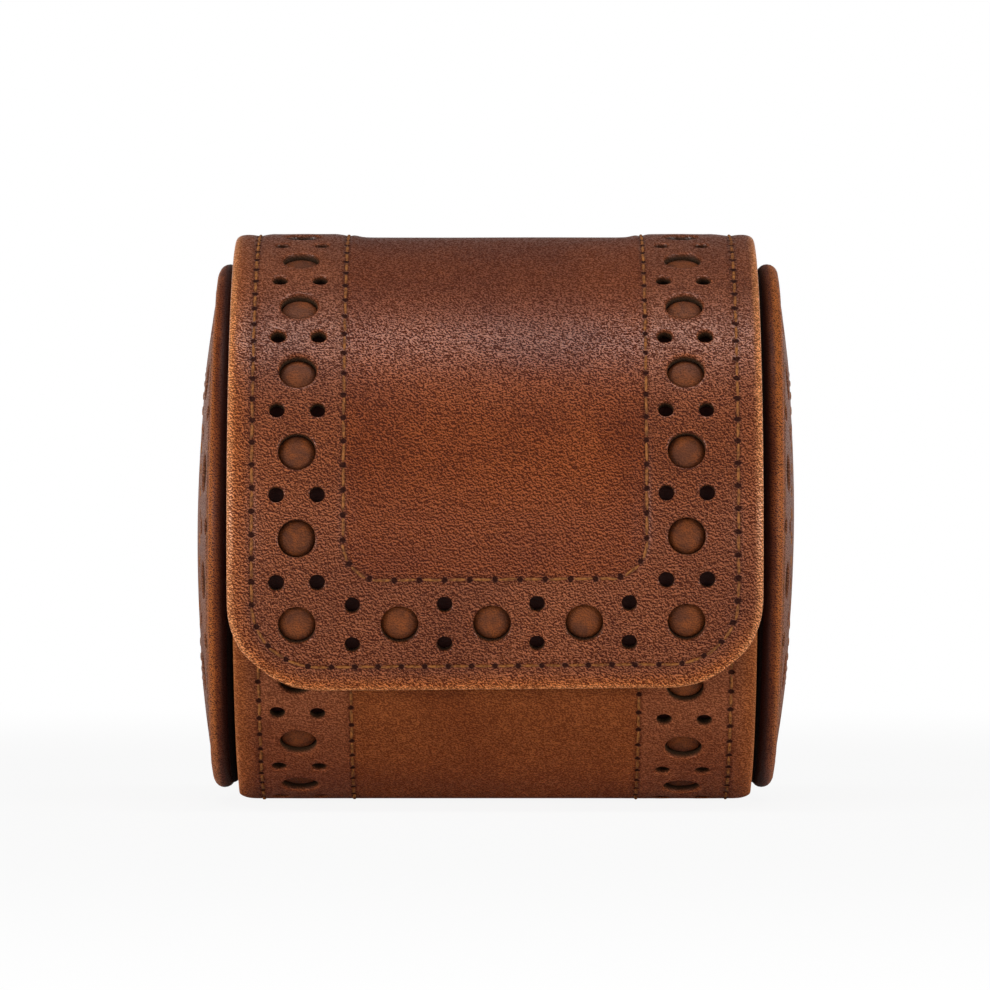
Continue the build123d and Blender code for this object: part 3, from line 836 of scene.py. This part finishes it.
flapUnderlayer = {"thick": 0.5, "below": deep + 0.02, "body": "flap", "material": underlayLeatherMaterial,
                  "slot": "underlay_leather", "nodes": ["flap_underlay"]}
caseUnderlayer = dict(flapUnderlayer, body="case", nodes=["wrap_underlay"])
layer("flapUnderlay", narrowed(flapColumns, 0.7), [s for s in flapRows if s > 0.7], flapShape,
      flapPattern(floorDome, None), layFlap, flapUnderlayer)
layer("wrapUnderlay", narrowed(caseColumns, 0.25), caseRows[1:], sameShape, casePattern(floorDome, None),
      layCase, caseUnderlayer)
print("underlays laid")


# suede linings: inside the flap, round the bore and across the hinge

lining = {"thick": 0.6, "flapBelow": 2.7, "caseBelow": 3.9, "half": 36.25, "stripHalf": 31.3,
          "stripThick": 0.5, "stripReach": 11.0, "stripBlend": 5.0, "waves": 0.06, "edgeRise": 0.56,
          "edgeFrom": 3.8, "edgeWidth": 1.4, "waveLength": 9}


def ripple(x, s, seed):
    length = lining["waveLength"]
    return lining["waves"] * noise.noise(Vector((x / length, s / length, seed)))


def layLining(x, s, h):
    # comes up to the underlay round the edges, where the board ends
    gap = min(-beside(x, s, flapEdge), flapRoll["length"] - s)
    rise = 0.0
    if h > -lining["flapBelow"] - 0.1:
        rise = lining["edgeRise"] * ease((lining["edgeFrom"] - gap) / lining["edgeWidth"])
    return onFlap(x, s, h + rise + ripple(x, s, 2.2))


def layBore(x, s, h):
    return onCase(x, s, h + ripple(x, s, 4.4))


def layHingeLining(x, run, h):
    share = ease((run + lining["stripBlend"]) / (2 * lining["stripBlend"]))
    onCaseSide = onCase(x, caseRoll["length"] + run, h - lining["caseBelow"] - lining["thick"])
    onFlapSide = onFlap(x, flapRoll["length"] - run, h - lining["flapBelow"] - lining["thick"])
    return onCaseSide.lerp(onFlapSide, share)


flapSuede = {"thick": lining["thick"], "below": lining["flapBelow"], "body": "flap",
             "material": liningSuedeMaterial, "slot": "lining_suede", "nodes": ["flap_lining"]}
boreSuede = dict(flapSuede, below=lining["caseBelow"], body="case", nodes=["case_lining"])
hingeSuede = dict(flapSuede, thick=lining["stripThick"], below=0.02, body=None, nodes=["hinge_strip"])

liningRows = [s for s in flapRows if s > 0.7] + [125.0, 127.5, 129.6]
layer("flapLining", narrowed(flapColumns, 0.7), liningRows, flapShape, [], layLining, flapSuede)
boreColumns = [lining["half"] * k / 24 for k in range(-24, 25)]
boreRows = [0.75 + (caseRoll["length"] - 0.9) * k / 110 for k in range(111)]
layer("caseLining", boreColumns, boreRows, sameShape, [], layBore, boreSuede)
stripColumns = [lining["stripHalf"] * k / 20 for k in range(-20, 21)]
stripRuns = [lining["stripReach"] * k / 22 for k in range(-22, 23)]
hingeLining = layer("hingeLining", stripColumns, stripRuns, sameShape, [], layHingeLining, hingeSuede)
print("linings laid")


# stitches: one thread bead, copied along each row

bead = {"length": 0.88, "width": 0.22, "height": 0.22, "lift": 0.1, "segments": 8, "rings": 6, "turn": 0.06,
        "rise": 0.03, "dive": 0.34, "swell": 1.6}


def beadShape():
    bpy.ops.object.select_all(action="DESELECT")
    bpy.ops.mesh.primitive_uv_sphere_add(segments=bead["segments"], ring_count=bead["rings"], radius=1.0)
    ball = bpy.context.object
    verts = [v.co.copy() for v in ball.data.vertices]
    faces = [list(p.vertices) for p in ball.data.polygons]
    bpy.data.objects.remove(ball)
    shaped = []
    for v in verts:  # the sphere's poles become the thread's two ends
        swell = max(1 - abs(v.z) ** 3.0, 0.0) ** 0.5 / max(sqrt(max(1 - v.z * v.z, 0.0)), 0.05)
        swell = min(swell, bead["swell"])
        shaped.append((v.z, v.x * swell, v.y * swell))
    return shaped, faces


beadVerts, beadFaces = beadShape()


def stitch(bm, centre, direction, length, place, height, dice):
    x, s = centre
    direction += dice.uniform(-bead["turn"], bead["turn"])
    ax, ay = cos(direction), sin(direction)
    level = height(x, s) + bead["lift"] + dice.uniform(-bead["rise"], bead["rise"])
    made = []
    for along, across, up in beadVerts:
        a, b = along * length / 2, across * bead["width"]
        out = level + up * bead["height"] - bead["dive"] * along ** 4
        made.append(bm.verts.new(place(x + ax * a - ay * b, s + ay * a + ax * b, out)))
    for face in beadFaces:
        bm.faces.new([made[k] for k in face])


def stitches(name, jobs, seed):
    # jobs: (row, first distance, last distance, placing, height)
    bm = bmesh.new()
    dice = random.Random(seed)
    for row, start, end, place, height in jobs:
        pitch = row["pitch"]
        for k in range(int(start / pitch) - 1, int(end / pitch) + 2):
            run = (k + 0.5) * pitch
            if not start <= run <= end:
                continue
            x, s, turn = pointAlong(run, row)
            for side in (-1, 1):
                direction = turn if side > 0 else pi - turn
                stitch(bm, (side * x, s), direction, pitch * bead["length"], place, height, dice)
    return toObject(bm, name)


def lengthOf(row, top):
    return row["half"] - row["radius"] + row["radius"] * pi / 2 + top - row["bottom"] - row["radius"]


def insideFlap(x, s, h):
    return onFlap(x, s, -lining["flapBelow"] - lining["thick"] - h)


def noRelief(x, s):
    return 0.0


flapStitches = stitches("flapStitches", [
    (flapOuter, 0, lengthOf(flapOuter, flapTop), layFlap, flapSurface),
    (flapInner, 0, lengthOf(flapInner, flapTop), layFlap, flapSurface),
    (flapOuter, 0, lengthOf(flapOuter, flapTop), insideFlap, noRelief)], 11)
dress(flapStitches, "flap", threadMaterial, "outer_leather")
wrapStitches = stitches("wrapStitches", [
    (caseOuter, 3, caseTop, layCase, caseSurface), (caseInner, 3, caseTop, layCase, caseSurface)], 12)
dress(wrapStitches, "case", threadMaterial, "outer_leather")
print("stitches sewn")


# the hinge: the same leather where it bends along the back

hinge = {"edge": 38.6, "outerRow": 34.95, "innerRow": 21.55, "bend": 5.5, "sewn": 6.8, "steps": 28}


def betweenRolls(run):
    # how far the hinge strip is on from the case's edge line to the flap's
    return ease((run + stripReach) / (2 * stripReach))


def hingeSurface(x, run):
    share = betweenRolls(run)
    onFlapSide = flapSurface(x, flapRoll["length"] - run)
    onCaseSide = caseSurface(x, caseRoll["length"] + run)
    return onCaseSide * (1 - share) + onFlapSide * share


def hingeShape(u, run):
    # columns of the case become the flap's across the strip
    share = betweenRolls(run)
    half = caseEdge["half"] + (flapEdge["half"] - caseEdge["half"]) * share
    return u * half / caseEdge["half"], run


hingeRuns = [-stripReach + 2 * stripReach * k / hinge["steps"] for k in range(hinge["steps"] + 1)]
bm = plate(caseColumns, hingeRuns, hingeShape, [], deep)
hingeOuter = dict(caseOuter, half=hinge["outerRow"], pitch=flapOuter["pitch"])
hingeInner = dict(caseInner, half=hinge["innerRow"], pitch=flapInner["pitch"])
rowsOfHinge = besideRows(dict(caseEdge, half=hinge["edge"]), hingeOuter, hingeInner)
hingeLeather = finishLeather(bm, "hingeLeather", rowsOfHinge, onHinge, hingeSurface)
dress(hingeLeather, None, flapLeatherMaterial, "outer_leather")
bendStart, bendEnd = onHinge(0, -hinge["bend"], 0), onHinge(0, hinge["bend"], 0)
hingeStitches = stitches("hingeStitches", [
    (row, -hinge["sewn"], hinge["sewn"], onHinge, hingeSurface) for row in (hingeOuter, hingeInner)], 13)
dress(hingeStitches, None, threadMaterial, "outer_leather")
for piece in (hingeLeather, hingeStitches, hingeLining):
    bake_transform(piece)
    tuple(bendStart)
    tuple(bendEnd)
print("hinge made")


# end caps: a punched dome of leather, its underlay, two rows of stitches, a rolled rim and a welt behind it

cap = {"centreHeight": 41.0484, "ring": 30.4, "count": 12, "dome": 225.0, "tip": 45.1, "edge": 36.32,
       "roll": 37.95, "rollRadius": 1.55, "rollPlane": 40.5, "lean": 0.0105, "shift": 0.12,
       "weltPlane": 39.25, "weltRadius": 1.0, "weltRing": 37.75, "innerRow": 24.3, "innerCount": 44,
       "outerRow": 34.9, "outerCount": 64, "pairHalf": 3.0, "bigReach": 9, "smallReach": 6,
       "besideRow": 34.55, "rim": 1.35, "rimStart": 34.3, "step": 3.0, "cutOpen": 6.0, "slowWave": 0.035,
       "fineWave": 0.02}
endBoard = {"thick": 0.57, "radius": 37.6, "plane": 35.72, "floor": 4.6, "soft": 0.25, "softFrom": 34.0,
            "softWidth": 3.6}
capRadii = [0.0, 2.5, 5.5, 9.0, 12.5, 16.0, 19.0, 21.3, 23.0, 23.95, 24.3, 24.65]
capRadii += [cap["ring"] + punch["block"] * k for k in range(-4, 4)]
capRadii += [cap["besideRow"], 34.9, 35.25, 35.6, 35.9, 36.15, cap["edge"]]
capAngles = [cap["cutOpen"] + cap["step"] * k for k in range(121)]  # cut open between two holes
endRadii = [endBoard["radius"] * k / 16 for k in range(16)] + [36.6, 37.2, 37.5, endBoard["radius"]]


def capShape(u, r):
    a = radians(u)
    return r * cos(a), r * sin(a)


def capSurface(y, z):
    r = hypot(y, z)
    h = -0.5 * relief["panelDrop"] * ease((cap["innerRow"] - r - relief["stepStart"]) / relief["stepWidth"])
    for row in (cap["innerRow"], cap["outerRow"]):
        h -= relief["groove"] * exp(-(((r - row) / relief["grooveWidth"]) ** 2))
    h -= cap["rim"] * clamp((r - cap["rimStart"]) / (cap["edge"] - cap["rimStart"])) ** 2
    length = relief["waveLength"]
    return h + relief["waves"] * noise.noise(Vector((y / length, z / length, 5.3)))


def capRows(y, z):
    r, a = hypot(y, z), atan2(z, y) % (2 * pi)
    return ((r - cap["outerRow"], a * cap["outerRow"], 9.0),
            (r - cap["innerRow"], a * cap["innerRow"], ease(r - cap["innerRow"] + 0.5)))


def onCap(side):
    def place(y, z, h):
        r = hypot(y, z)
        x = cap["tip"] - cap["dome"] + sqrt(cap["dome"] ** 2 - r * r)
        lean = r / cap["dome"]
        out = Vector((side, lean * y / max(r, 0.001), lean * z / max(r, 0.001))).normalized()
        flat = Vector((side * x + cap["lean"] * z + cap["shift"], y, z + cap["centreHeight"]))
        return (flat + out * h) * mm
    return place


def capPattern(big, small):
    holes = []
    r, b, between = cap["ring"], punch["block"], 180 / cap["count"]
    for k in range(cap["count"]):
        a = between * (2 * k + 1)
        box = (a - cap["bigReach"], a + cap["bigReach"], r - 3 * b, r + 3 * b)
        holes.append((capShape(a, r), big, box))
        a += between
        for way in (-1, 1) if small else ():
            low, high = (r, cap["besideRow"]) if way > 0 else (r - 4 * b, r)
            box = (a - cap["smallReach"], a + cap["smallReach"], low, high)
            holes.append((capShape(a, r + way * cap["pairHalf"]), small, box))
    return holes


def roll(name, plane, major, minor, material, *nodes):
    # a rolled cord round the cap, a little uneven as leather is
    made = ringAt(name, plane, cap["centreHeight"], major, minor, (180, 20))
    centre = Vector((plane, 0, cap["centreHeight"])) * mm
    for v in made.data.vertices:
        flat = Vector((0, v.co.y - centre.y, v.co.z - centre.z))
        core = centre + flat.normalized() * major * mm
        wave = 1 + cap["slowWave"] * noise.noise(v.co * 160) + cap["fineWave"] * noise.noise(v.co * 700)
        v.co = core + (v.co - core) * wave + Vector((cap["lean"] * flat.z + cap["shift"] * mm, 0, 0))
    dress(made, "case", material, "piping_leather", *nodes)


for side, sideName in ((-1, "left"), (1, "right")):
    place = onCap(side)
    bm = plate(capAngles, capRadii, capShape, capPattern(bigCut, smallCut), deep, "t")
    piece = finishLeather(bm, sideName + "CapLeather", capRows, place, capSurface)
    dress(piece, "case", capLeatherMaterial, "outer_leather", sideName + "_cap_leather")
    layer(sideName + "CapUnderlay", capAngles, capRadii, capShape, capPattern(floorDome, None), place,
          dict(caseUnderlayer, nodes=[sideName + "_cap_underlay"]), "t")

    bm = bmesh.new()
    dice = random.Random(20 + side)
    for row, count in ((cap["innerRow"], cap["innerCount"]), (cap["outerRow"], cap["outerCount"])):
        for k in range(count):
            a = 2 * pi * (k + 0.5) / count
            stitch(bm, (row * cos(a), row * sin(a)), a + pi / 2, 2 * pi * row / count * bead["length"], place,
                   capSurface, dice)
    dress(toObject(bm, sideName + "CapStitches"), "case", threadMaterial, "outer_leather")

    roll(sideName + "PipingRoll", side * cap["rollPlane"], cap["roll"], cap["rollRadius"],
         pipingLeatherMaterial, sideName + "_cap_piping")
    # the welt is near black, as painted shade in the gap behind the rolled rim
    roll(sideName + "Welt", side * cap["weltPlane"], cap["weltRing"], cap["weltRadius"], weltPaintedShadeMaterial)

    def onEnd(y, z, h):
        low = max(z + caseRoll["height"], endBoard["floor"])
        out = endBoard["plane"] - h
        if h > -0.1:  # the face that shows is a little soft
            out += endBoard["soft"] * ease((hypot(y, z) - endBoard["softFrom"]) / endBoard["softWidth"])
            out += ripple(y, z, 6.6 + side)
        return Vector((side * out, y, low)) * mm

    bm = layOver(plate(capAngles, endRadii, capShape, [], endBoard["thick"], "t", False), onEnd)
    dress(toObject(bm, sideName + "EndLining", 0, 50), "case", liningSuedeMaterial, "lining_suede",
          sideName + "_end_lining")
print("caps made")


# the binding round the case's front edge, with its leg turned inside; its section is (s, h) from that edge

binding = {"half": 38.3, "legHalf": 35.6, "wall": 3.9, "wallFace": 0.72, "steps": 46, "swell": 0.05,
           "stitchRow": 4.7, "stitchHalf": 34.5, "stitchEnd": 34.4, "stitchPitch": 3.0, "inside": 5.2,
           "section": [(0.72, -0.03), (0.4, 0.0), (0.14, -0.1), (0.02, -0.35), (0.0, -0.8), (0.0, -2.4),
                       (0.0, -4.3), (0.03, -4.8), (0.16, -5.08), (0.4, -5.18), (1.6, -5.22), (3.4, -5.22),
                       (5.2, -5.2), (5.75, -5.14), (5.96, -4.95), (5.96, -4.7), (5.8, -4.53), (0.9, -4.53),
                       (0.72, -4.4), (0.72, -2.4), (0.72, -0.8)]}


def insideLeg(x, s, h):
    return onCase(x, s, -binding["inside"] - h)


bm = bmesh.new()
loops = []
for k in range(-binding["steps"], binding["steps"] + 1):
    x = binding["half"] * k / binding["steps"]
    section = binding["section"]
    if abs(x) >= binding["legHalf"]:  # no leg beside the end boards
        section = [(min(s, binding["wallFace"]), max(h, -binding["wall"])) for s, h in section]
    swell = binding["swell"] * noise.noise(Vector((x / 5, 0, 9.1)))
    loops.append([bm.verts.new(onCase(x, s, h - swell * (h < -5))) for s, h in section])
for low, high in zip(loops, loops[1:]):
    bridge(bm, low, high)
for loop in (loops[0], loops[-1]):
    bm.faces.new(loop)
dress(toObject(bm, "mouthBinding", 0, 50), "case", bindingLeatherMaterial, "binding_leather", "mouth_binding")
hem = {"half": binding["stitchHalf"], "bottom": binding["stitchRow"], "radius": 0.01,
       "pitch": binding["stitchPitch"]}
sewnLeg = (hem, 0, binding["stitchEnd"], insideLeg, noRelief)
bindingStitches = stitches("bindingStitches", [sewnLeg], 14)
dress(bindingStitches, "case", threadMaterial, "binding_leather")
print("binding folded")


# the cushion, blown up a little as its filling does, and held in at the seams round its two ends

cushion = {"radius": 27.3, "half": 33.5, "centre": 32.8, "voxel": 4.0, "pressure": 4.0, "frames": 20,
           "swell": 0.9, "seamWidth": 2.5, "seamInside": 24.0, "seamRadius": 27.35, "cord": 0.85,
           "pucker": 0.22, "puckerReach": 5, "folds": 7, "dent": 0.12, "calm": 20}
bpy.ops.object.select_all(action="DESELECT")
bpy.ops.mesh.primitive_cylinder_add(
    vertices=72, radius=cushion["radius"] * mm, depth=2 * cushion["half"] * mm, rotation=(0, pi / 2, 0),
    location=(0, 0, cushion["centre"] * mm))
pad = settle("cushionCover")
pad.data.remesh_voxel_size = cushion["voxel"] * mm
bpy.ops.object.voxel_remesh()
seam = pad.vertex_groups.new(name="seam")
for v in pad.data.vertices:
    fromAxis = hypot(v.co.y, v.co.z - cushion["centre"] * mm)
    if abs(v.co.x) > (cushion["half"] - cushion["seamWidth"]) * mm and fromAxis > cushion["seamInside"] * mm:
        seam.add([v.index], 1.0, "REPLACE")
before = [v.co.copy() for v in pad.data.vertices]
cloth = pad.modifiers.new("filling", "CLOTH")
cloth.settings.use_pressure = True
cloth.settings.uniform_pressure_force = cushion["pressure"]
cloth.settings.vertex_group_mass = "seam"
cloth.settings.effector_weights.gravity = 0
cloth.point_cache.frame_start, cloth.point_cache.frame_end = 1, cushion["frames"]
for frameNumber in range(1, cushion["frames"] + 1):
    scene.frame_set(frameNumber)
bpy.ops.object.modifier_apply(modifier=cloth.name)
scene.frame_set(1)
for v, old in zip(pad.data.vertices, before):
    moved = v.co - old
    if moved.length > cushion["swell"] * mm:
        v.co = old + moved.normalized() * cushion["swell"] * mm
smoothed(pad, 2)
for v in pad.data.vertices:
    flat = Vector((0, v.co.y, v.co.z - cushion["centre"] * mm))
    r = flat.length
    if r < 0.002:
        continue
    turn = atan2(flat.z, flat.y)
    fromSeam = (cushion["half"] * mm - abs(v.co.x)) / mm
    around = cushion["folds"]
    folds = noise.noise(Vector((cos(turn) * around, sin(turn) * around, v.co.x * 60)))
    gather = cushion["pucker"] * folds * exp(-fromSeam / cushion["puckerReach"])
    dent = cushion["dent"] * noise.noise(v.co * 90)
    v.co += flat.normalized() * (gather + dent) * mm * ease(r / mm / cushion["calm"])
bpy.ops.object.shade_smooth()
dress(pad, "cushion", cushionSuedeMaterial, "lining_suede", "cushion_cover", "left_cushion_end",
      "right_cushion_end")
for side, sideName in ((-1, "left"), (1, "right")):
    cord = ringAt(sideName + "CushionPiping", side * cushion["half"], cushion["centre"],
                  cushion["seamRadius"], cushion["cord"], (160, 14))
    dress(cord, "cushion", bindingLeatherMaterial, "binding_leather")
print("cushion filled")


# better finishes for the CAD nodes that stay

hidden = {"case_shell": boardMaterial, "flap_board": boardMaterial, "left_end_board": boardMaterial,
          "right_end_board": boardMaterial, "left_cap_foam": foamMaterial, "right_cap_foam": foamMaterial,
          "case_magnets": steelMaterial, "flap_magnets": steelMaterial, "cushion_core": foamMaterial}
for name, material in hidden.items():
    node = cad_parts[name]
    node.data.materials.clear()
    node.data.materials.append(material)


# floor, backdrop and lamps

studio = {"floor": (0.9, 0.895, 0.885, 1), "floorSize": 12, "floorDrop": 0.0004, "near": 0.16, "far": 0.5,
          "nearWhite": 0.9, "sky": 0.16, "bandLow": 0.08, "bandHigh": 0.32, "aim": 0.04}
softboxes = [("topSoftbox", (0, -0.165, 0.83), (0.7, 0.2), 2.6),
             ("leftSoftbox", (-0.95, -0.62, 0.14), (0.8, 0.26), 6.2),
             ("rightSoftbox", (0.95, -0.62, 0.14), (0.8, 0.26), 5.0)]

bpy.ops.object.select_all(action="DESELECT")
bpy.ops.mesh.primitive_plane_add(size=studio["floorSize"], location=(0, 0, -studio["floorDrop"]))
floor = bpy.context.object
floor.name = "floor"
material, t, shader, where = newMaterial("paleFloor")
fill(t, shader, {"Base Color": studio["floor"], "Roughness": 0.9})
away = add(t, "VectorMath", {0: where}, operation="LENGTH").outputs["Value"]
seen = add(t, "LightPath").outputs["Is Camera Ray"]
white = spread(t, away, studio["near"], studio["far"], studio["nearWhite"], 1.0)  # fades into the backdrop
glow = add(t, "Emission", {"Color": (1, 1, 1, 1), "Strength": 1.0})
mixedFloor = add(t, "MixShader", {0: times(t, seen, white), 1: shader.outputs[0], 2: glow.outputs[0]})
t.links.new(mixedFloor.outputs[0], t.nodes["Material Output"].inputs["Surface"])
floor.data.materials.append(material)

world = scene.world or bpy.data.worlds.new("studio")
scene.world = world
world.use_nodes = True
t = world.node_tree
t.nodes.clear()
path = add(t, "LightPath")
up = part(t, add(t, "TexCoord").outputs["Generated"], 2)
level = spread(t, calc(t, "ABSOLUTE", up), studio["bandLow"], studio["bandHigh"], 1.0, 0.0)
seen = calc(t, "MAXIMUM", path.outputs["Is Camera Ray"], path.outputs["Is Transmission Ray"])
seen = calc(t, "MAXIMUM", seen, times(t, path.outputs["Is Glossy Ray"], level))  # dim overhead
strength = add(t, "MapRange", {"Value": seen, "To Min": studio["sky"], "To Max": 1.0}).outputs["Result"]
back = add(t, "Background", {"Color": (1, 1, 1, 1), "Strength": strength})
t.links.new(back.outputs[0], add(t, "OutputWorld").inputs["Surface"])

for name, where, size, power in softboxes:
    bpy.ops.object.light_add(type="AREA", location=where)
    lamp = bpy.context.object
    lamp.name = name
    lamp.data.shape = "RECTANGLE"
    lamp.data.size, lamp.data.size_y = size
    lamp.data.energy = power
    towards = Vector((0, 0, studio["aim"])) - Vector(where)
    lamp.rotation_euler = towards.to_track_quat("-Z", "Y").to_euler()
print("stage lit")
